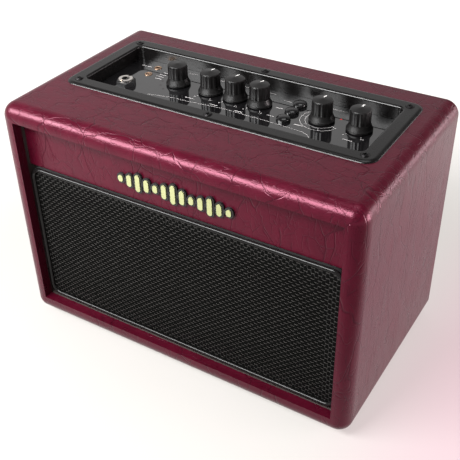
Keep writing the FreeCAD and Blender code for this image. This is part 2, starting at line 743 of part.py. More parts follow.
def input_jack_ring():
    x, y = jack_point
    z = panel_z + JACK_NUT_H
    ring = spin([(JACK_BORE_R + 0.15, z), (JACK_RING_R, z), (JACK_RING_R, z + JACK_RING_H - 0.6),
                 (JACK_RING_R - 0.6, z + JACK_RING_H), (JACK_BORE_R + 0.6, z + JACK_RING_H),
                 (JACK_BORE_R + 0.15, z + JACK_RING_H - 0.45)], x, y)
    slot = box(x - 1.1, x + 1.1, y - JACK_RING_R - 1, y - JACK_BORE_R - 1.2, z + 0.5, z + 3)
    return ring.cut(slot).cut(slot.rotated(V(x, y, 0), V(0, 0, 1), 180))


def small_jack(x, y):
    w = SMALL_JACK_BODY_W / 2
    z1 = tray_under - SLIP
    body = box(x - w, x + w, y - w, y + w, z1 - SMALL_JACK_DEPTH, z1)
    body = body.fuse(rod(SMALL_JACK_RING_R - 0.4, x, y, z1 - 1, panel_under))
    return body.cut(rod(SMALL_JACK_BORE_R, x, y, z1 - SMALL_JACK_DEPTH + 1.2, panel_z + 2))


def jack_ring(x, y):
    z0 = panel_under
    z1 = panel_z + RING_PROUD
    r = SMALL_JACK_RING_R
    bore = SMALL_JACK_BORE_R
    return spin([(bore, z0), (r, z0), (r, z1 - 0.3), (r - 0.3, z1), (bore + 0.4, z1), (bore, z1 - 0.4)], x, y)


def indicator_light(x, y):
    return rod(LIGHT_R, x, y, pcb_top + 2.0, panel_z).fuse(rod(LIGHT_R + 0.6, x, y, pcb_top, pcb_top + 2.4))


# ---------------------------------------------------------------- rear, feet and inside
inlet_z = floor_z + INLET_Z
pivot_y = rear_face - 2.5


def rear_panel():
    panel = box(-mouth_x + FIT, mouth_x - FIT, rear_front, rear_face, mouth_z0 + FIT, mouth_z1 - FIT)
    cutters = [rod_y(SCREW_R + SLIP, x, z, rear_front - 1, rear_face + 1) for x, z in rear_screws]
    cutters.append(rod_y(INLET_BODY_R + SNUG, INLET_X, inlet_z, rear_front - 1, rear_face + 1))
    w = SWITCH_W / 2 + SNUG
    h = SWITCH_H / 2 + SNUG
    cutters.append(box(SWITCH_X - w, SWITCH_X + w, rear_front - 1, rear_face + 1, inlet_z - h, inlet_z + h))
    return panel.cut(group(cutters))


def power_inlet():
    deep = rear_front - 6.0
    body = rod_y(INLET_BODY_R, INLET_X, inlet_z, deep, rear_face)
    body = body.fuse(rod_y(INLET_FLANGE_R, INLET_X, inlet_z, rear_face, rear_face + 1.8))
    body = body.cut(rod_y(INLET_BORE_R, INLET_X, inlet_z, rear_face - 8.0, back))
    return body.fuse(rod_y(INLET_PIN_R, INLET_X, inlet_z, rear_face - 8.5, rear_face - 0.5))


def switch_housing():
    w = SWITCH_W / 2
    h = SWITCH_H / 2
    body = box(SWITCH_X - w, SWITCH_X + w, rear_face - SWITCH_DEPTH, rear_face, inlet_z - h, inlet_z + h)
    body = body.fuse(box(SWITCH_X - w - SWITCH_BEZEL, SWITCH_X + w + SWITCH_BEZEL, rear_face, rear_face + 1.5,
                         inlet_z - h - SWITCH_BEZEL, inlet_z + h + SWITCH_BEZEL))
    w -= 1.2
    h -= 1.2
    body = body.cut(box(SWITCH_X - w, SWITCH_X + w, rear_face - SWITCH_DEPTH + 5, back,
                        inlet_z - h, inlet_z + h))
    pin_start = V(SWITCH_X - SWITCH_W / 2 + 0.4, pivot_y, inlet_z)
    return body.cut(Part.makeCylinder(ROCKER_PIN_R + RUN, SWITCH_W - 0.8, pin_start, V(1, 0, 0)))


def power_rocker():
    w = SWITCH_W / 2 - 1.2 - SLIP
    h = SWITCH_H / 2 - 1.2 - 0.8
    outline = [V(0, -4.0, -2.4), V(0, -4.0, 2.4), V(0, 0.6, h - 0.3), V(0, 3.4, h - 0.3), V(0, 2.5, 0),
               V(0, 3.4, -h + 0.3), V(0, 0.6, -h + 0.3), V(0, -4.0, -2.4)]
    body = Part.Face(Part.makePolygon(outline)).extrude(V(2 * w, 0, 0)).translated(V(-w, 0, 0))
    pin = Part.makeCylinder(ROCKER_PIN_R, SWITCH_W - 1.0, V(-SWITCH_W / 2 + 0.5, 0, 0), V(1, 0, 0))
    rocker = body.fuse(pin).rotated(V(0, 0, 0), V(1, 0, 0), ROCKER_TILT)
    return rocker.translated(V(SWITCH_X, pivot_y, inlet_z))


def wood_screws():
    made = []
    screw = pan_screw(SCREW_LEN)
    for x, z in rear_screws:
        made.append(placed(screw, V(x, rear_face, z), V(0, 1, 0)))
    for x, z in speaker_screws:
        made.append(placed(pan_screw(SCREW_LEN - 3), V(x, basket_front, z), V(0, -1, 0)))
    for x, y in foot_points:
        made.append(placed(screw, V(x, y, FOOT_H / 2), V(0, 0, -1)))
    return group(made)


def rubber_foot(x, y):
    foot = spin([(0, 0.8), (FOOT_R - 2.4, 0.8), (FOOT_R - 2.0, 0), (FOOT_R - 1.2, 0), (FOOT_R - 0.6, 0.6),
                 (FOOT_R, FOOT_H), (0, FOOT_H)], x, y)
    foot = foot.cut(rod(SCREW_R + SNUG, x, y, -1, FOOT_H + 1))
    return foot.cut(rod(SCREW_HEAD_R + SLIP, x, y, -1, FOOT_H / 2))


main_y0 = main_back - MAIN_D
ribbon_y = main_y0 + 28.5
lead_x = SPEAKER_X - 30.0


def main_board():
    # the amplifier board, with its spacers, capacitors, driver chip and two lead sockets
    board = box(-MAIN_W / 2, MAIN_W / 2, main_y0, main_back, main_z, main_z + PCB_T)
    for sx in (-1, 1):
        for y in (main_y0 + 5, main_back - 5):
            board = board.fuse(rod(3.0, sx * (MAIN_W / 2 - 5), y, floor_z, main_z + 0.1))
        x = sx * lead_x
        board = board.fuse(box(x - 4, x + 4, main_y0 + 2, main_y0 + 10, main_z + 1, main_z + 9))
    for i in range(4):
        board = board.fuse(rod(5.0, -22 + 12 * i, main_back - 14, main_z + 1, main_z + 17))
    board = board.fuse(box(-8, 8, main_y0 + 14, main_y0 + 26, main_z + 1, main_z + 4))
    w = RIBBON_W / 2 + 1.5
    return board.fuse(box(RIBBON_X - w, RIBBON_X + w, ribbon_y - 2.5, ribbon_y + 2.5, main_z + 1, main_z + 8))


def lead(side):
    # a speaker lead: down from the basket's tag, back along the floor and into its socket
    tag_z = speaker_z - BASKET_REAR_R - BASKET_WALL - 5
    x0 = side * SPEAKER_X
    x1 = side * lead_x
    y0 = basket_rear - TAG_D / 2
    y1 = main_y0 + 2
    z1 = main_z + 5
    half = (y0 + y1) / 2
    points = [V(x0, y0, tag_z), V(x0, y0, z1), V(x0, half, z1), V(x1, half, z1), V(x1, y1, z1)]
    edges = []
    here = points[0]
    for a, b, c in zip(points, points[1:], points[2:]):
        into = b.sub(a).normalize()
        out = c.sub(b).normalize()
        bend = min(LEAD_BEND_R, 0.49 * b.sub(a).Length, 0.49 * c.sub(b).Length)
        start = b.sub(V(into).multiply(bend))
        end = b.add(V(out).multiply(bend))
        mid = b.add(out.sub(into).multiply(bend * (1 - math.sqrt(0.5))))
        edges.append(Part.LineSegment(here, start).toShape())
        edges.append(Part.Arc(start, mid, end).toShape())
        here = end
    edges.append(Part.LineSegment(here, points[-1]).toShape())
    path = Part.Wire(edges)
    ring = Part.Wire([Part.makeCircle(LEAD_R, points[0], V(0, 0, -1))])
    return path.makePipeShell([ring], True, False)


def ribbon():
    # the flat cable between the control board and the amplifier board
    w = RIBBON_W / 2
    t = RIBBON_T / 2
    return box(RIBBON_X - w, RIBBON_X + w, ribbon_y - t, ribbon_y + t, main_z + 8, pcb_under)


# ---------------------------------------------------------------- the whole object
core = shell_block(COVER_T)
parts = {
    "top_board": top_board(core),
    "bottom_board": bottom_board(core),
    "left_board": side_board(core, -1),
    "right_board": side_board(core, 1),
    "battens": battens(),
    "vinyl_cover": vinyl_cover(core),
    "baffle_board": baffle_board(),
    "rail_board": rail_board(),
    "rail_cover": rail_cover(),
    "grille_frame": grille_frame(),
    "grille_cloth": grille_cloth(),
    "grille_bead": bead_loop(BEAD_R),
    "badge_plate": badge_plate(),
    "badge_bars": badge_bars(),
    "top_bezel": top_bezel(),
    "control_panel": control_panel(),
    "bezel_screws": bezel_screws(),
    "control_board": control_board(),
    "voice_encoder": pot_body(*knob_points["voice"], ENCODER_W, ENCODER_W),
    "pot_bodies": group([pot_body(*knob_points[n], POT_W, POT_D) for n in pot_names]),
    "input_jack": input_jack(),
    "input_jack_nut": input_jack_nut(),
    "input_jack_ring": input_jack_ring(),
    "small_jacks": group([small_jack(x, y) for x, y in small_jack_points]),
    "jack_rings": group([jack_ring(x, y) for x, y in small_jack_points]),
    "indicator_lights": group([indicator_light(x, y) for x, y in light_points]),
    "tact_switches": group([tact_switch(x, y) for x, y in button_points.values()]),
    "main_board": main_board(),
    "power_inlet": power_inlet(),
    "switch_housing": switch_housing(),
    "power_rocker": power_rocker(),
    "rear_panel": rear_panel(),
    "wood_screws": wood_screws(),
    "rubber_feet": group([rubber_foot(x, y) for x, y in foot_points]),
    "speaker_baskets": group([speaker_basket(x, z) for x, z in speaker_points]),
    "speaker_magnets": group([speaker_magnet(x, z) for x, z in speaker_points]),
    "wiring": group([lead(-1), lead(1), ribbon()]),
}
for side, (x, z) in zip(("left", "right"), speaker_points):
    parts[side + "_cone"] = speaker_cone(x, z)
    parts[side + "_voice_coil"] = voice_coil(x, z)
    parts[side + "_surround"] = surround(x, z)
    parts[side + "_spider"] = spider(x, z)
for name, (x, y) in knob_points.items():
    parts[name + "_knob"] = knob(x, y)
    parts[name + "_shaft"] = shaft(x, y)
for name, (x, y) in button_points.items():
    parts[name + "_button"] = button(x, y)

os.makedirs("parts", exist_ok=True)
for name, shape in parts.items():
    shape.exportStep("parts/" + name + ".step")
print(len(parts), "parts")
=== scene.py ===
import math

import bmesh
import bpy
from mathutils import Euler, Matrix, Vector


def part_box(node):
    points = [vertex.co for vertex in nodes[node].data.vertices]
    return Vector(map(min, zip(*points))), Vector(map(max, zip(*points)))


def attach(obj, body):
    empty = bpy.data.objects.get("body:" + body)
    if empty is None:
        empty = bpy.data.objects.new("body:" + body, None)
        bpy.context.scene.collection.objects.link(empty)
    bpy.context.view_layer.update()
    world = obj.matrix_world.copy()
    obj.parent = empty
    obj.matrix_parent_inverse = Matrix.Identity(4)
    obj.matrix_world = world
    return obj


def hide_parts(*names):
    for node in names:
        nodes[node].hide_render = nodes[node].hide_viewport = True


# A small guitar amplifier in oxblood vinyl: woven grille in front, sunk control panel on top.
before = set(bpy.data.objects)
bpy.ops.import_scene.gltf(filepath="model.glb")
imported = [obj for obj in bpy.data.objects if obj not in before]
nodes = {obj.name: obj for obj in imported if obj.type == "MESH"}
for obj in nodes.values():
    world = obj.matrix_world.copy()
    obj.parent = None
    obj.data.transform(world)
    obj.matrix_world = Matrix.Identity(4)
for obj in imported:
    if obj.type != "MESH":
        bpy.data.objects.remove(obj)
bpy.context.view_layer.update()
scene = bpy.context.scene
scene.view_settings.view_transform = "Standard"
MM = 0.001
PAINT = 0.03 * MM       # thickness of paint and ink

POTS = ("gain", "volume", "tone", "effect", "level")       # the knobs with a pointer
NUMBERED = ("gain", "volume", "tone", "level")             # the knobs with a dial of numbers


# ---------------------------------------------------------------- small helpers
def linear(hex_colour):
    """An sRGB hex colour as linear red, green, blue and alpha."""
    out = []
    for start in (1, 3, 5):
        c = int(hex_colour[start:start + 2], 16) / 255
        out.append(c / 12.92 if c <= 0.04045 else ((c + 0.055) / 1.055) ** 2.4)
    return (*out, 1.0)


def add(tree, kind, inputs=(), **settings):
    """Adds one node, sets it up, and fills its inputs with values or with other nodes' outputs."""
    made = tree.nodes.new(kind)
    for name, value in settings.items():
        setattr(made, name, value)
    for key, value in dict(inputs).items():
        if isinstance(value, bpy.types.NodeSocket):
            tree.links.new(value, made.inputs[key])
        else:
            made.inputs[key].default_value = value
    return made


def surface(name, colour, roughness, plain=()):
    """A material whose plain values sit on the shader's own sockets."""
    material = bpy.data.materials.new(name)
    material.use_nodes = True
    tree = material.node_tree
    shader = tree.nodes["Principled BSDF"]
    shader.inputs["Base Color"].default_value = linear(colour)
    shader.inputs["Roughness"].default_value = roughness
    for key, value in dict(plain).items():
        shader.inputs[key].default_value = value
    place = add(tree, "ShaderNodeTexCoord").outputs["Object"]
    return material, tree, shader, place


def centre(node):
    """The middle of a node's box at rest."""
    low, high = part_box(node)
    return (low + high) / 2


def finished(name, vertices, faces, material, body):
    """A plain mesh piece with its place in its vertices."""
    mesh = bpy.data.meshes.new(name)
    mesh.from_pydata([tuple(v) for v in vertices], [], faces)
    mesh.materials.append(material)
    piece = bpy.data.objects.new(name, mesh)
    scene.collection.objects.link(piece)
    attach(piece, body)
    return piece


# ---------------------------------------------------------------- camera
camera_data = bpy.data.cameras.new("camera")
camera_data.lens = 63.29
camera_data.sensor_width = 36.0
camera_data.clip_end = 60.0
camera = bpy.data.objects.new("camera", camera_data)
camera.location = (0.32795, -0.52173, 0.5373)
camera.rotation_euler = Euler((0.953, 0.018, 0.547), "XYZ")
scene.collection.objects.link(camera)
scene.camera = camera


# ---------------------------------------------------------------- finishes
def oxblood_vinyl():
    # Vinyl pressed with a hide grain: a soft sheen, pores, and creases that run round the box.
    material, tree, shader, place = surface(
        "oxblood_embossed_vinyl", "#420A17", 0.4,
        {"IOR": 1.45, "Specular IOR Level": 0.44, "Specular Tint": linear("#FFA6C0")})
    # the hide grain runs up the sides, so every line is longer that way
    along = add(tree, "ShaderNodeMapping", {"Vector": place, "Scale": (0.7, 1.0, 0.36)})
    # a slow drift, up to 6 mm each way, bends the lines
    drift = add(tree, "ShaderNodeTexNoise",
                {"Vector": along.outputs[0], "Scale": 1 / (18 * MM), "Detail": 2.0})
    centred = add(tree, "ShaderNodeVectorMath",
                  {0: drift.outputs["Color"], 1: (0.5, 0.5, 0.5)}, operation="SUBTRACT")
    bent = add(tree, "ShaderNodeVectorMath",
               {0: centred.outputs[0], 1: (12 * MM, 12 * MM, 12 * MM), 2: along.outputs[0]},
               operation="MULTIPLY_ADD")
    # Long folds 24 mm apart, creases 11 mm apart and wrinkles 5 mm apart, each broken where the
    # hide was slack. They are drawn 0.6 to 0.9 mm wide, because finer ones would not show.
    lines = None
    for apart, half_width, depth, slack in (
        (24 * MM, 0.432 * MM, 1.0, 0.36),
        (11 * MM, 0.396 * MM, 0.7, 0.44),
        (5 * MM, 0.3 * MM, 0.4, 0.42),
    ):
        folds = add(tree, "ShaderNodeTexVoronoi",
                    {"Vector": bent.outputs[0], "Scale": 1 / apart}, feature="DISTANCE_TO_EDGE")
        line = add(tree, "ShaderNodeMapRange",
                   {"Value": folds.outputs["Distance"], "From Max": half_width / apart,
                    "To Min": depth, "To Max": 0.0},
                   interpolation_type="SMOOTHSTEP")
        patches = add(tree, "ShaderNodeTexNoise", {"Vector": place, "Scale": 0.8 / apart, "Detail": 1.0})
        shown = add(tree, "ShaderNodeMapRange",
                    {"Value": patches.outputs["Fac"], "From Min": slack, "From Max": slack + 0.1},
                    interpolation_type="SMOOTHSTEP")
        broken = add(tree, "ShaderNodeMath", {0: line.outputs[0], 1: shown.outputs[0]}, operation="MULTIPLY")
        lines = broken if lines is None else add(
            tree, "ShaderNodeMath", {0: lines.outputs[0], 1: broken.outputs[0]}, operation="MAXIMUM")
    # pores 1.1 mm apart, a third as deep as the folds
    pores = add(tree, "ShaderNodeTexNoise",
                {"Vector": place, "Scale": 1 / (1.1 * MM), "Detail": 2.0, "Roughness": 0.6})
    cloudy = add(tree, "ShaderNodeTexNoise",
                 {"Vector": along.outputs[0], "Scale": 1 / (14 * MM), "Detail": 5.0, "Roughness": 0.62})
    tone = add(tree, "ShaderNodeMix",
               {0: cloudy.outputs["Fac"], 6: linear("#27030C"), 7: linear("#430618")}, data_type="RGBA")
    # painted shade: the creases are painted darker as well as sunk by the bump, as shade in their grooves
    darker = add(tree, "ShaderNodeMath", {0: lines.outputs[0], 1: 0.55}, operation="MULTIPLY")
    crease_shaded_tone = add(tree, "ShaderNodeMix",
                   {0: darker.outputs[0], 6: tone.outputs[2], 7: linear("#1A0208")}, data_type="RGBA")
    tree.links.new(crease_shaded_tone.outputs[2], shader.inputs["Base Color"])
    rough = add(tree, "ShaderNodeMapRange",
                {"Value": cloudy.outputs["Fac"], "From Min": 0.3, "From Max": 0.7,
                 "To Min": 0.26, "To Max": 0.33})
    tree.links.new(rough.outputs[0], shader.inputs["Roughness"])
    raised = add(tree, "ShaderNodeMath", {0: pores.outputs["Fac"], 1: 0.35}, operation="MULTIPLY")
    sunk = add(tree, "ShaderNodeMath", {0: lines.outputs[0], 1: -1.0, 2: raised.outputs[0]},
               operation="MULTIPLY_ADD")
    bump = add(tree, "ShaderNodeBump", {"Height": sunk.outputs[0], "Strength": 0.8, "Distance": 0.22 * MM})
    tree.links.new(bump.outputs[0], shader.inputs["Normal"])
    return material


def speckled(name, colour, other, roughness, size, depth, plain=()):
    """A finish with a fine all-over texture, size apart and depth deep, and larger clouds in its tone."""
    cloud_size = 17 * size
    material, tree, shader, place = surface(name, colour, roughness, plain)
    specks = add(tree, "ShaderNodeTexNoise",
                 {"Vector": place, "Scale": 1 / size, "Detail": 3.0, "Roughness": 0.6})
    clouds = add(tree, "ShaderNodeTexNoise", {"Vector": place, "Scale": 1 / cloud_size, "Detail": 2.0})
    both = add(tree, "ShaderNodeMath",
               {0: specks.outputs["Fac"], 1: clouds.outputs["Fac"]}, operation="MULTIPLY")
    share = add(tree, "ShaderNodeMapRange", {"Value": both.outputs[0], "From Min": 0.12, "From Max": 0.4})
    tone = add(tree, "ShaderNodeMix",
               {0: share.outputs[0], 6: linear(colour), 7: linear(other)}, data_type="RGBA")
    tree.links.new(tone.outputs[2], shader.inputs["Base Color"])
    worn = add(tree, "ShaderNodeMapRange",
               {"Value": clouds.outputs["Fac"], "From Min": 0.3, "From Max": 0.7,
                "To Min": roughness * 0.86, "To Max": roughness * 1.16})
    tree.links.new(worn.outputs[0], shader.inputs["Roughness"])
    bump = add(tree, "ShaderNodeBump",
               {"Height": specks.outputs["Fac"], "Strength": 0.4, "Distance": depth})
    tree.links.new(bump.outputs[0], shader.inputs["Normal"])
    return material


def stained_fibreboard(name, colour, other):
    # Medium-density fibreboard brushed with stain: matt, with short pressed fibres along the board.
    material, tree, shader, place = surface(name, colour, 0.75)
    along = add(tree, "ShaderNodeMapping", {"Vector": place, "Scale": (0.3, 1.0, 1.0)})
    fibres = add(tree, "ShaderNodeTexNoise",
                 {"Vector": along.outputs[0], "Scale": 1 / (0.9 * MM), "Detail": 4.0, "Roughness": 0.7})
    tone = add(tree, "ShaderNodeMix",
               {0: fibres.outputs["Fac"], 6: linear(colour), 7: linear(other)}, data_type="RGBA")
    tree.links.new(tone.outputs[2], shader.inputs["Base Color"])
    bump = add(tree, "ShaderNodeBump",
               {"Height": fibres.outputs["Fac"], "Strength": 0.5, "Distance": 0.1 * MM})
    tree.links.new(bump.outputs[0], shader.inputs["Normal"])
    return material


def turned_metal(name, colour, roughness, middle, axis):
    # Metal turned on a lathe or plated over that: faint rings round the middle given.
    material, tree, shader, place = surface(name, colour, roughness, {"Metallic": 1.0})
    moved = add(tree, "ShaderNodeMapping", {"Vector": place, "Location": [-c for c in middle]})
    # rings 3.1 mm apart, much coarser than a real cut so that they show
    rings = add(tree, "ShaderNodeTexWave",
                {"Vector": moved.outputs[0], "Scale": 1 / (10 * MM), "Distortion": 1.0, "Detail": 2.0},
                wave_type="RINGS", rings_direction=axis)
    grime = add(tree, "ShaderNodeTexNoise", {"Vector": place, "Scale": 1 / (1.6 * MM), "Detail": 3.0})
    worn = add(tree, "ShaderNodeMapRange",
               {"Value": grime.outputs["Fac"], "From Min": 0.3, "From Max": 0.7,
                "To Min": roughness * 0.7, "To Max": roughness * 1.5})
    tree.links.new(worn.outputs[0], shader.inputs["Roughness"])
    bump = add(tree, "ShaderNodeBump",
               {"Height": rings.outputs["Fac"], "Strength": 0.12, "Distance": 0.05 * MM})
    tree.links.new(bump.outputs[0], shader.inputs["Normal"])
    return material


def polished_acrylic():
    # Cast acrylic sheet, flame polished, black: a clear reflection with the faintest haze and dust.
    material, tree, shader, place = surface(
        "polished_black_acrylic", "#070708", 0.035, {"IOR": 1.7, "Specular IOR Level": 0.75})
    dust = add(tree, "ShaderNodeTexNoise",
               {"Vector": place, "Scale": 1 / (2.2 * MM), "Detail": 5.0, "Roughness": 0.75})
    hazy = add(tree, "ShaderNodeMapRange",
               {"Value": dust.outputs["Fac"], "From Min": 0.45, "From Max": 0.75,
                "To Min": 0.025, "To Max": 0.085})
    tree.links.new(hazy.outputs[0], shader.inputs["Roughness"])
    tone = add(tree, "ShaderNodeMix",
               {0: dust.outputs["Fac"], 6: linear("#050506"), 7: linear("#121112")}, data_type="RGBA")
    tree.links.new(tone.outputs[2], shader.inputs["Base Color"])
    return material


def pulp_cone():
    # Pressed paper pulp with a dull coat: matt, with faint fibres.
    material, tree, shader, place = surface("coated_paper_pulp", "#191817", 0.7)
    fibres = add(tree, "ShaderNodeTexNoise",
                 {"Vector": place, "Scale": 1 / (1.3 * MM), "Detail": 5.0, "Roughness": 0.7})
    tone = add(tree, "ShaderNodeMix",
               {0: fibres.outputs["Fac"], 6: linear("#0E0D0D"), 7: linear("#2A2826")}, data_type="RGBA")
    tree.links.new(tone.outputs[2], shader.inputs["Base Color"])
    bump = add(tree, "ShaderNodeBump",
               {"Height": fibres.outputs["Fac"], "Strength": 0.5, "Distance": 0.15 * MM})
    tree.links.new(bump.outputs[0], shader.inputs["Normal"])
    return material


def solder_masked_board():
    # Glass-fibre circuit board under green lacquer: patches of copper show through it, paler.
    material, tree, shader, place = surface("solder_masked_glass_fibre", "#0C3B22", 0.35)
    copper = add(tree, "ShaderNodeTexVoronoi", {"Vector": place, "Scale": 1 / (3.4 * MM)},
                 distance="CHEBYCHEV")
    edges = add(tree, "ShaderNodeMapRange",
                {"Value": copper.outputs["Distance"], "From Min": 0.35, "From Max": 0.4})
    tone = add(tree, "ShaderNodeMix",
               {0: edges.outputs[0], 6: linear("#0C3B22"), 7: linear("#155A34")}, data_type="RGBA")
    tree.links.new(tone.outputs[2], shader.inputs["Base Color"])
    return material


def smoked_lens():
    # Smoked red light pipe, moulded: nearly black, and a dull red only where the right-hand one is lit.
    lit_from = 78 * MM
    material, tree, shader, place = surface(
        "smoked_red_lens", "#14090A", 0.15, {"IOR": 1.49, "Emission Strength": 0.5})
    split = add(tree, "ShaderNodeSeparateXYZ", {0: place})
    lit = add(tree, "ShaderNodeMapRange",
              {"Value": split.outputs[0], "From Min": lit_from, "From Max": lit_from + 2 * MM})
    tone = add(tree, "ShaderNodeMix",
               {0: lit.outputs[0], 6: linear("#14090A"), 7: linear("#8A1A1E")}, data_type="RGBA")
    glow = add(tree, "ShaderNodeMix",
               {0: lit.outputs[0], 6: linear("#000000"), 7: linear("#B01818")}, data_type="RGBA")
    tree.links.new(tone.outputs[2], shader.inputs["Base Color"])
    tree.links.new(glow.outputs[2], shader.inputs["Emission Color"])
    return material


def woven_thread(name, colour, other, roughness, level):
    # A plied thread, such as a speaker cloth's coated polyester cord: a slanting ripple runs along it.
    material, tree, shader, place = surface(name, colour, roughness, {"Specular IOR Level": level})
    turned = add(tree, "ShaderNodeMapping", {"Vector": place, "Rotation": (0.0, 0.6, 0.0)})
    # a ply every 2.8 mm, coarser than a real one so that it shows
    plies = add(tree, "ShaderNodeTexWave",
                {"Vector": turned.outputs[0], "Scale": 1 / (9 * MM), "Distortion": 1.5},
                bands_direction="X")
    fluff = add(tree, "ShaderNodeTexNoise", {"Vector": place, "Scale": 1 / (3.0 * MM), "Detail": 3.0})
    tone = add(tree, "ShaderNodeMix",
               {0: fluff.outputs["Fac"], 6: linear(colour), 7: linear(other)}, data_type="RGBA")
    tree.links.new(tone.outputs[2], shader.inputs["Base Color"])
    bump = add(tree, "ShaderNodeBump",
               {"Height": plies.outputs["Fac"], "Strength": 0.3, "Distance": 0.1 * MM})
    tree.links.new(bump.outputs[0], shader.inputs["Normal"])
    return material


# The weft is coated and catches the light; the warp behind it is dull.
weft_thread = woven_thread("coated_weft_cord", "#262423", "#3A3836", 0.34, 0.36)
warp_thread = woven_thread("dull_warp_cord", "#030303", "#070706", 0.8, 0.03)
# Screen-printed grey-white ink: a little uneven, barely raised.
print_ink = speckled("screen_printed_ink", "#8E8A8A", "#B8B4B3", 0.5, 0.6 * MM, 0.005 * MM)
# Enamel run into the knob's line: white and satin.
pointer_paint = speckled("pointer_enamel", "#DAD7D4", "#F2F0EE", 0.35, 0.7 * MM, 0.01 * MM)
finishes = {
    "vinyl": oxblood_vinyl(),
    "board": stained_fibreboard("stained_fibreboard", "#2B2422", "#3A302C"),
    "black_board": stained_fibreboard("black_painted_fibreboard", "#0B0B0B", "#151414"),
    "cloth": warp_thread,
    # Extruded PVC piping: smooth and glossy, with a faint waviness.
    "bead": speckled("extruded_pvc_piping", "#090808", "#100F0F", 0.2, 5 * MM, 0.12 * MM,
                     {"Specular IOR Level": 0.18}),
    # Injection-moulded badge backing with a satin spark-eroded texture.
    "badge_black": speckled("satin_moulded_backing", "#0A0A0A", "#121212", 0.45, 0.8 * MM, 0.03 * MM),
    # Hard enamel over metal, cream: glossy, with a slight cloudiness.
    "badge_cream": speckled("cream_hard_enamel", "#86885C", "#929468", 0.25, 1.4 * MM, 0.02 * MM,
                            {"Coat Weight": 0.5, "Coat Roughness": 0.1}),
    # ABS moulding with a fine spark texture: satin, so its rounded edges carry a line of light.
    "bezel": speckled("satin_black_abs", "#070606", "#0B0A0A", 0.26, 0.9 * MM, 0.012 * MM,
                      {"Specular IOR Level": 0.32}),
    "panel": polished_acrylic(),
    # Blackened steel: dark oxide with a dull metal shine.
    "black_screw": speckled("black_oxide_steel", "#1A191A", "#2A2829", 0.34, 0.7 * MM, 0.02 * MM,
                            {"Metallic": 0.9}),
    "circuit_board": solder_masked_board(),
    # Zinc-plated can over a moulded body, seen only through gaps.
    "control_body": speckled("moulded_control_body", "#1E1E1E", "#2C2C2C", 0.5, 0.9 * MM, 0.03 * MM),
    "shaft": turned_metal("turned_aluminium_shaft", "#C9C9CD", 0.3, (0, 0, 0), "Z"),
    # Moulded knob, satin from the tool: soft, broad reflections.
    "knob": speckled("satin_moulded_knob", "#080707", "#0E0D0D", 0.36, 0.8 * MM, 0.02 * MM,
                     {"Specular IOR Level": 0.3}),
    # Polished moulded button cap.
    "button": speckled("polished_button_cap", "#0A0A0A", "#131213", 0.14, 2.0 * MM, 0.02 * MM,
                       {"Specular IOR Level": 0.6}),
    # Turned nylon bushing: satin, with a slight bloom.
    "jack_black": speckled("black_nylon_bushing", "#0A0A0B", "#131314", 0.42, 0.7 * MM, 0.03 * MM),
    "chrome": turned_metal("polished_chrome", "#D8D2CC", 0.14, centre("input_jack_ring"), "Z"),
    "gold": turned_metal("gold_plated_ring", "#B99A82", 0.28, centre("jack_rings"), "Z"),
    "light": smoked_lens(),
    # Steel sheet with baked black paint: orange-peel surface.
    "rear": speckled("baked_black_paint", "#111111", "#1A1A1A", 0.42, 1.6 * MM, 0.06 * MM),
    # Moulded rubber: dull, with a bloom.
    "rubber": speckled("moulded_rubber", "#131313", "#222120", 0.68, 1.2 * MM, 0.05 * MM),
    # Pressed steel under thin paint: satin, with a little metal shine.
    "basket": speckled("painted_pressed_steel", "#101010", "#1B1B1B", 0.4, 1.1 * MM, 0.04 * MM,
                       {"Metallic": 0.3}),
    # Fired ferrite: grey-black and granular.
    "magnet": speckled("fired_ferrite", "#3B3B3D", "#565658", 0.55, 1.1 * MM, 0.08 * MM, {"Metallic": 0.4}),
    "cone": pulp_cone(),
    # Cotton stiffened with resin: amber, woven.
    "spider": woven_thread("resin_stiffened_cotton", "#8C6A2E", "#B48C46", 0.6, 0.3),
    "coil": turned_metal("enamelled_copper_winding", "#B5713A", 0.35, (0, 0, 0), "Y"),
    # Insulated lead: soft PVC, red.
    "lead": speckled("red_pvc_insulation", "#5A0F10", "#7A1718", 0.4, 1.5 * MM, 0.03 * MM),
}
for node in nodes.values():
    for holder in node.material_slots:
        holder.material = finishes[holder.material.name.split(".")[0]]


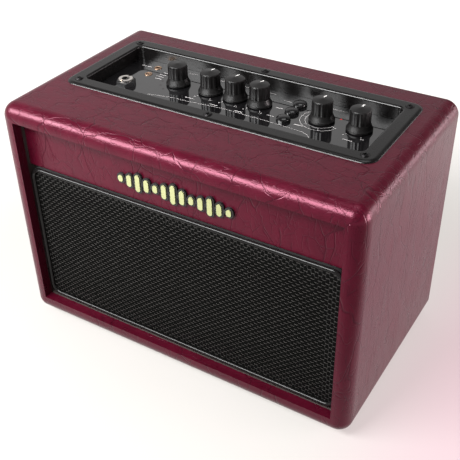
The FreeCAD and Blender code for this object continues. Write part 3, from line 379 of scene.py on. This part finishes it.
# ---------------------------------------------------------------- woven grille
def weave_tree():
    """Cords across and cords up, each rounded in front, then made to pass over and under."""
    tree = bpy.data.node_groups.new("grille_weave", "GeometryNodeTree")
    tree.interface.new_socket("Geometry", in_out="OUTPUT", socket_type="NodeSocketGeometry")
    for name, kind, value in (
        ("Width", "NodeSocketFloat", 0.3),
        ("Height", "NodeSocketFloat", 0.13),
        ("Cord pitch", "NodeSocketFloat", 3.1 * MM),
        ("Row pitch", "NodeSocketFloat", 2.6 * MM),
        ("Weft width", "NodeSocketFloat", 1.15 * MM),
        ("Warp width", "NodeSocketFloat", 2.9 * MM),
        ("Rise", "NodeSocketFloat", 0.3 * MM),
        ("Weft sink", "NodeSocketFloat", 0.15 * MM),
        ("Weft crown", "NodeSocketFloat", 0.3 * MM),
        ("Warp crown", "NodeSocketFloat", 0.2 * MM),
        ("Centre", "NodeSocketVector", (0.0, 0.0, 0.0)),
        ("Weft", "NodeSocketMaterial", None),
        ("Warp", "NodeSocketMaterial", None),
    ):
        socket = tree.interface.new_socket(name, in_out="INPUT", socket_type=kind)
        if value is not None:
            socket.default_value = value
    given = add(tree, "NodeGroupInput").outputs
    result = add(tree, "NodeGroupOutput")
    halves = []
    # weft cords run along X and are spaced up Z; warp cords the other way round
    for across, thread, long_way, pitch, own_pitch, points_over, first_way in (
        (True, "Weft", "Width", "Row pitch", "Cord pitch", 4, -1.0),
        (False, "Warp", "Height", "Cord pitch", "Row pitch", 3, 1.0),
    ):
        width = given[thread + " width"]
        steps = add(tree, "ShaderNodeMath", {0: given[long_way], 1: given[own_pitch]}, operation="DIVIDE")
        # three faces from one crossing to the next
        points = add(tree, "ShaderNodeMath", {0: steps.outputs[0], 1: 3.0, 2: 1.0}, operation="MULTIPLY_ADD")
        strip = add(tree, "GeometryNodeMeshGrid",
                    {"Size X": given[long_way], "Size Y": width,
                     "Vertices X": points.outputs[0], "Vertices Y": points_over})
        where = add(tree, "GeometryNodeInputPosition")
        parts = add(tree, "ShaderNodeSeparateXYZ", {0: where.outputs[0]})
        # the crown falls with the square of the way from the cord's middle to its edge
        share = add(tree, "ShaderNodeMath", {0: parts.outputs[1], 1: width}, operation="DIVIDE")
        square = add(tree, "ShaderNodeMath", {0: share.outputs[0], 1: share.outputs[0]}, operation="MULTIPLY")
        fall = add(tree, "ShaderNodeMath", {0: square.outputs[0], 1: -4.0}, operation="MULTIPLY")
        drop = add(tree, "ShaderNodeMath",
                   {0: fall.outputs[0], 1: given[thread + " crown"]}, operation="MULTIPLY")
        down = add(tree, "ShaderNodeCombineXYZ", {2: drop.outputs[0]})
        crowned = add(tree, "GeometryNodeSetPosition",
                      {"Geometry": strip.outputs[0], "Offset": down.outputs[0]})
        upright = add(tree, "GeometryNodeTransform",
                      {"Geometry": crowned.outputs[0],
                       "Rotation": (math.pi / 2, 0.0, 0.0) if across else (math.pi / 2, -math.pi / 2, 0.0)})
        spread = given["Height"] if across else given["Width"]
        rows = add(tree, "ShaderNodeMath", {0: spread, 1: given[pitch]}, operation="DIVIDE")
        count = add(tree, "ShaderNodeMath", {0: rows.outputs[0]}, operation="FLOOR")
        gaps = add(tree, "ShaderNodeMath", {0: count.outputs[0], 1: -1.0}, operation="ADD")
        run = add(tree, "ShaderNodeMath", {0: gaps.outputs[0], 1: given[pitch]}, operation="MULTIPLY")
        back = add(tree, "ShaderNodeMath", {0: run.outputs[0], 1: -0.5}, operation="MULTIPLY")
        first = add(tree, "ShaderNodeCombineXYZ", {2 if across else 0: back.outputs[0]})
        step = add(tree, "ShaderNodeCombineXYZ", {2 if across else 0: given[pitch]})
        line = add(tree, "GeometryNodeMeshLine",
                   {"Count": count.outputs[0], "Start Location": first.outputs[0], "Offset": step.outputs[0]})
        copies = add(tree, "GeometryNodeInstanceOnPoints",
                     {"Points": line.outputs[0], "Instance": upright.outputs[0]})
        real = add(tree, "GeometryNodeRealizeInstances", {0: copies.outputs[0]})
        # the row's number, from its place, says whether it starts over or under
        laid = add(tree, "GeometryNodeInputPosition")
        xyz = add(tree, "ShaderNodeSeparateXYZ", {0: laid.outputs[0]})
        along, side = (xyz.outputs[0], xyz.outputs[2]) if across else (xyz.outputs[2], xyz.outputs[0])
        row = add(tree, "ShaderNodeMath", {0: side, 1: back.outputs[0]}, operation="SUBTRACT")
        number = add(tree, "ShaderNodeMath", {0: row.outputs[0], 1: given[pitch]}, operation="DIVIDE")
        whole = add(tree, "ShaderNodeMath", {0: number.outputs[0]}, operation="ROUND")
        phase = add(tree, "ShaderNodeMath", {0: along, 1: given[own_pitch]}, operation="DIVIDE")
        summed = add(tree, "ShaderNodeMath", {0: phase.outputs[0], 1: whole.outputs[0]}, operation="ADD")
        turned = add(tree, "ShaderNodeMath", {0: summed.outputs[0], 1: math.pi}, operation="MULTIPLY")
        swing = add(tree, "ShaderNodeMath", {0: turned.outputs[0]}, operation="COSINE")
        height = add(tree, "ShaderNodeMath", {0: swing.outputs[0], 1: given["Rise"]}, operation="MULTIPLY")
        signed = add(tree, "ShaderNodeMath", {0: height.outputs[0], 1: first_way}, operation="MULTIPLY")
        sunk = add(tree, "ShaderNodeMath", {0: signed.outputs[0], 1: given["Weft sink"] if across else 0.0},
                   operation="ADD")
        shift = add(tree, "ShaderNodeCombineXYZ", {1: sunk.outputs[0]})
        placed = add(tree, "ShaderNodeVectorMath", {0: shift.outputs[0], 1: given["Centre"]}, operation="ADD")
        waved = add(tree, "GeometryNodeSetPosition",
                    {"Geometry": real.outputs[0], "Offset": placed.outputs[0]})
        halves.append(add(tree, "GeometryNodeSetMaterial",
                          {"Geometry": waved.outputs[0], "Material": given[thread]}))
    joined = add(tree, "GeometryNodeJoinGeometry")
    for half in halves:
        tree.links.new(half.outputs[0], joined.inputs[0])
    smooth = add(tree, "GeometryNodeSetShadeSmooth", {0: joined.outputs[0]})
    tree.links.new(smooth.outputs[0], result.inputs[0])
    return tree


def grown(name, tree, values):
    """The plain mesh that a geometry tree makes with these inputs."""
    holder = bpy.data.objects.new(name, bpy.data.meshes.new(name))
    scene.collection.objects.link(holder)
    modifier = holder.modifiers.new("grow", "NODES")
    modifier.node_group = tree
    keys = {i.name: i.identifier for i in tree.interface.items_tree if i.in_out == "INPUT"}
    for key, value in values.items():
        modifier[keys[key]] = value
    seen = holder.evaluated_get(bpy.context.evaluated_depsgraph_get())
    mesh = bpy.data.meshes.new_from_object(seen)
    holder.modifiers.clear()
    holder.data = mesh
    mesh.name = name
    return holder


cloth_low, cloth_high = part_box("grille_cloth")
cloth_size = cloth_high - cloth_low
cloth = grown("woven_grille", weave_tree(), {
    "Width": cloth_size.x, "Height": cloth_size.z, "Centre": tuple(centre("grille_cloth")),
    "Weft": weft_thread, "Warp": warp_thread})
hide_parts("grille_cloth")
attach(cloth, "cabinet")


# ---------------------------------------------------------------- pointers on the knobs
def pointer(control):
    """A painted line on a knob's domed top, from near its middle towards the back."""
    cap_radius, dome = 8.85 * MM, 1.1 * MM
    near, far, half_width = 2.2 * MM, 7.6 * MM, 0.5 * MM
    steps = 8
    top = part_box(control + "_knob")[1].z + PAINT
    middle = centre(control + "_knob")
    vertices, faces = [], []
    for i in range(steps + 1):
        out = near + (far - near) * i / steps
        for side in (-half_width, half_width):
            z = top - dome * (out * out + side * side) / (cap_radius * cap_radius)
            vertices.append((middle.x + side, middle.y + out, z))
    for i in range(steps):
        a = 2 * i
        faces.append((a, a + 1, a + 3, a + 2))
    return finished(control + "_pointer", vertices, faces, pointer_paint, control + "_control")


for control in POTS:
    pointer(control)


# ---------------------------------------------------------------- print on the panel
panel_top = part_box("control_panel")[1].z + PAINT
ink_vertices, ink_faces = [], []


def ribbon(points, width=0.35 * MM):
    """A printed line through the points, flat on the panel."""
    start = len(ink_vertices)
    for i, p in enumerate(points):
        before, after = points[max(0, i - 1)], points[min(len(points) - 1, i + 1)]
        way = Vector((after[0] - before[0], after[1] - before[1])).normalized()
        for side in (width / 2, -width / 2):
            ink_vertices.append((p[0] - way.y * side, p[1] + way.x * side, panel_top))
    for i in range(len(points) - 1):
        a = start + 2 * i
        ink_faces.append((a, a + 1, a + 3, a + 2))


def spot(middle, radius, angle):
    """The point at this radius from the middle, the angle in degrees counted from +X."""
    turn = math.radians(angle)
    return middle[0] + radius * math.cos(turn), middle[1] + radius * math.sin(turn)


def arc(middle, radius, start, end, steps=28):
    """Points along an arc from one angle to the other."""
    return [spot(middle, radius, start + (end - start) * i / steps) for i in range(steps + 1)]


def ray(middle, near, far, angle):
    """The two ends of a line that points away from the middle."""
    return [spot(middle, near, angle), spot(middle, far, angle)]


# ticks at both ends of a pot's travel and at its middle
DIAL_START, DIAL_MIDDLE, DIAL_END = 240, 90, -60
for control in NUMBERED:
    for angle in (DIAL_START, DIAL_MIDDLE, DIAL_END):
        ribbon(ray(centre(control + "_knob"), 12.2 * MM, 13.9 * MM, angle), 0.45 * MM)
# the effect knob has a ring of four boxes round its left and front
effect = centre("effect_knob")
ring_inside, ring_outside = 13.8 * MM, 18.3 * MM
ring_ends = [128 + 52 * i for i in range(5)]
for radius in (ring_outside, ring_inside):
    ribbon(arc(effect, radius, ring_ends[0], ring_ends[-1]))
for angle in ring_ends:
    ribbon(ray(effect, ring_inside, ring_outside, angle))
# a line sweeps along the panel's front and curls down at its right, in millimetres
sweep = [(-82, -1), (-58, 3.7), (-41, 4.5), (-9, 7.5), (37, 6), (62, 4.6), (70.5, 3.4),
         (76, 1.2), (79.5, -3), (80.5, -8)]
ribbon([(x * MM, y * MM) for x, y in sweep], 0.4 * MM)
# plain bars stand where captions would be: the middle and the length of each, in millimetres
captions = [
    (-69, 54, 9), (-38, 54, 7), (-10.6, 54, 9), (16, 54, 7), (81, 53, 13), (-118, 47.5, 11),
    (-90, 43, 9), (-93, 38.6, 7), (-93, 34.2, 8), (-92, 29.8, 7), (33.5, 16, 7), (33.5, 32, 6), (33.5, 47, 8),
    (-45, 10.5, 9), (-19, 9.6, 8), (6, 9.3, 8), (107.6, 9.2, 9), (62, 12.5, 8)]
for x, y, long in captions:
    ribbon([((x - long / 2) * MM, y * MM), ((x + long / 2) * MM, y * MM)], 0.8 * MM)
finished("panel_print", ink_vertices, ink_faces, print_ink, "cabinet")


def dial_numbers():
    """Numbers at the two ends of each dial, as one mesh."""
    whole = bmesh.new()
    for control in NUMBERED:
        for figure, angle in (("0", DIAL_START), ("10", DIAL_END)):
            text = bpy.data.curves.new("figure", "FONT")
            text.body = figure
            text.size = 3.0 * MM
            text.align_x = "CENTER"
            text.align_y = "CENTER"
            text.resolution_u = 3
            holder = bpy.data.objects.new("figure", text)
            scene.collection.objects.link(holder)
            seen = holder.evaluated_get(bpy.context.evaluated_depsgraph_get())
            mesh = bpy.data.meshes.new_from_object(seen)
            bpy.data.objects.remove(holder)
            x, y = spot(centre(control + "_knob"), 16.2 * MM, angle)
            mesh.transform(Matrix.Translation((x, y, panel_top)))
            whole.from_mesh(mesh)
            bpy.data.meshes.remove(mesh)
    for face in whole.faces:
        if face.normal.z < 0:
            face.normal_flip()
    out = bpy.data.meshes.new("dial_numbers")
    whole.to_mesh(out)
    whole.free()
    out.materials.append(print_ink)
    piece = bpy.data.objects.new("dial_numbers", out)
    scene.collection.objects.link(piece)
    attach(piece, "cabinet")


dial_numbers()


# ---------------------------------------------------------------- floor, light and surroundings
def pale_floor():
    # Opal sheet lit from below, its glow white further off. Close by the glow is painted dimmer, a painted
    # shade round the box;
    # on the right it is painted pink, a painted reflection of the red side; just outside the front right it
    # is painted nearly dark, a painted shade that the front faces mirror.
    material, tree, shader, place = surface("opal_floor_painted_shade_and_reflection", "#6E6C6A", 0.7, {"Emission Strength": 1.0})
    grain = add(tree, "ShaderNodeTexNoise", {"Vector": place, "Scale": 1 / (180 * MM), "Detail": 2.0})
    tone = add(tree, "ShaderNodeMix",
               {0: grain.outputs["Fac"], 6: linear("#6C6A68"), 7: linear("#706E6C")}, data_type="RGBA")
    tree.links.new(tone.outputs[2], shader.inputs["Base Color"])
    split = add(tree, "ShaderNodeSeparateXYZ", {0: place})
    # painted reflection: the share of pink that the red side would throw on the floor to its right
    right = add(tree, "ShaderNodeMapRange",
                {"Value": split.outputs[0], "From Min": 0.12, "From Max": 0.26},
                interpolation_type="SMOOTHSTEP")
    # painted shade: close by, the glow is a dimmer grey, turning pink on the right
    near = add(tree, "ShaderNodeMix",
               {0: right.outputs[0], 6: linear("#C6C3BF"), 7: linear("#CDABB5")}, data_type="RGBA")
    away = add(tree, "ShaderNodeVectorMath", {0: place}, operation="LENGTH")
    fade = add(tree, "ShaderNodeMapRange",
               {"Value": away.outputs["Value"], "From Min": 0.26, "From Max": 0.62},
               interpolation_type="SMOOTHSTEP")
    white = add(tree, "ShaderNodeMix",
                {0: fade.outputs[0], 6: near.outputs[2], 7: linear("#F8F7F4")}, data_type="RGBA")
    # painted shade: a nearly dark patch just outside the front right, fading further off, for the front faces
    # to mirror
    forward = add(tree, "ShaderNodeVectorMath", {0: place, 1: (0.507, -0.862, 0.0)}, operation="DOT_PRODUCT")
    painted_dark_share = add(tree, "ShaderNodeMapRange",
                {"Value": forward.outputs["Value"], "From Min": 0.185, "From Max": 0.29},
                interpolation_type="SMOOTHSTEP")
    close = add(tree, "ShaderNodeMapRange",
                {"Value": away.outputs["Value"], "From Min": 0.55, "From Max": 0.95,
                 "To Min": 1.0, "To Max": 0.0},
                interpolation_type="SMOOTHSTEP")
    painted_dark_patch = add(tree, "ShaderNodeMath", {0: painted_dark_share.outputs[0], 1: close.outputs[0]}, operation="MULTIPLY")
    # the glow, with the painted dark patch mixed in
    glow = add(tree, "ShaderNodeMix",
               {0: painted_dark_patch.outputs[0], 6: white.outputs[2], 7: linear("#3C3A39")}, data_type="RGBA")
    tree.links.new(glow.outputs[2], shader.inputs["Emission Color"])
    reach = 6.0
    corners = [(-reach, -reach, 0), (reach, -reach, 0), (reach, reach, 0), (-reach, reach, 0)]
    mesh = bpy.data.meshes.new("floor")
    mesh.from_pydata(corners, [], [(0, 1, 2, 3)])
    mesh.materials.append(material)
    floor = bpy.data.objects.new("floor", mesh)
    scene.collection.objects.link(floor)


def lamps():
    """Soft boxes: each lamp's place, what it faces, its two sides, its power and its colour."""
    for name, stand, aim, sides, power, colour in (
        ("front_left_strip", (-0.45, -0.62, 0.71), (-0.45, -0.08, 0.21), (1.0, 0.3), 34, "#FFFFFF"),
        ("back_box", (1.3, 1.3, 0.35), (0, 0, 0.1), (1.0, 0.5), 8, "#FFF4F6"),
        ("right_box", (1.7, 0.45, 0.4), (0.17, 0, 0.12), (0.8, 0.8), 46, "#FFF1F3"),
        ("overhead", (0.1, 0.1, 2.6), (0, 0, 0), (1.4, 1.4), 17, "#FFFFFF"),
    ):
        data = bpy.data.lights.new(name, "AREA")
        data.shape = "RECTANGLE"
        data.size, data.size_y = sides
        data.energy = power
        data.color = linear(colour)[:3]
        light = bpy.data.objects.new(name, data)
        light.location = stand
        light.rotation_euler = (Vector(aim) - Vector(stand)).to_track_quat("-Z", "Y").to_euler()
        scene.collection.objects.link(light)


def walls():
    """The room round the floor, as light from every way."""
    world = bpy.data.worlds.new("studio_walls")
    world.use_nodes = True
    scene.world = world
    tree = world.node_tree
    # walls pale at the back left and along the floor, darker elsewhere, and a dark ceiling
    way = add(tree, "ShaderNodeTexCoord").outputs["Generated"]
    facing = add(tree, "ShaderNodeVectorMath", {0: way, 1: (-0.75, 0.6, 0.25)}, operation="DOT_PRODUCT")
    bright = add(tree, "ShaderNodeMapRange",
                 {"Value": facing.outputs["Value"], "From Min": 0.5, "From Max": 0.97,
                  "To Min": 0.22, "To Max": 0.75},
                 interpolation_type="SMOOTHSTEP")
    height = add(tree, "ShaderNodeSeparateXYZ", {0: way})
    ceiling = add(tree, "ShaderNodeMapRange",
                  {"Value": height.outputs[2], "From Min": 0.6, "From Max": 0.8,
                   "To Min": 1.0, "To Max": 0.2},
                  interpolation_type="SMOOTHSTEP")
    upper = add(tree, "ShaderNodeMath", {0: bright.outputs[0], 1: ceiling.outputs[0]}, operation="MULTIPLY")
    skirting = add(tree, "ShaderNodeMapRange",
                   {"Value": height.outputs[2], "From Min": 0.1, "From Max": 0.24,
                    "To Min": 0.8, "To Max": 0.0},
                   interpolation_type="SMOOTHSTEP")
    strength = add(tree, "ShaderNodeMath", {0: upper.outputs[0], 1: skirting.outputs[0]}, operation="MAXIMUM")
    tree.links.new(strength.outputs[0], tree.nodes["Background"].inputs["Strength"])
    tree.nodes["Background"].inputs["Color"].default_value = (1.0, 0.985, 0.98, 1.0)


pale_floor()
lamps()
walls()
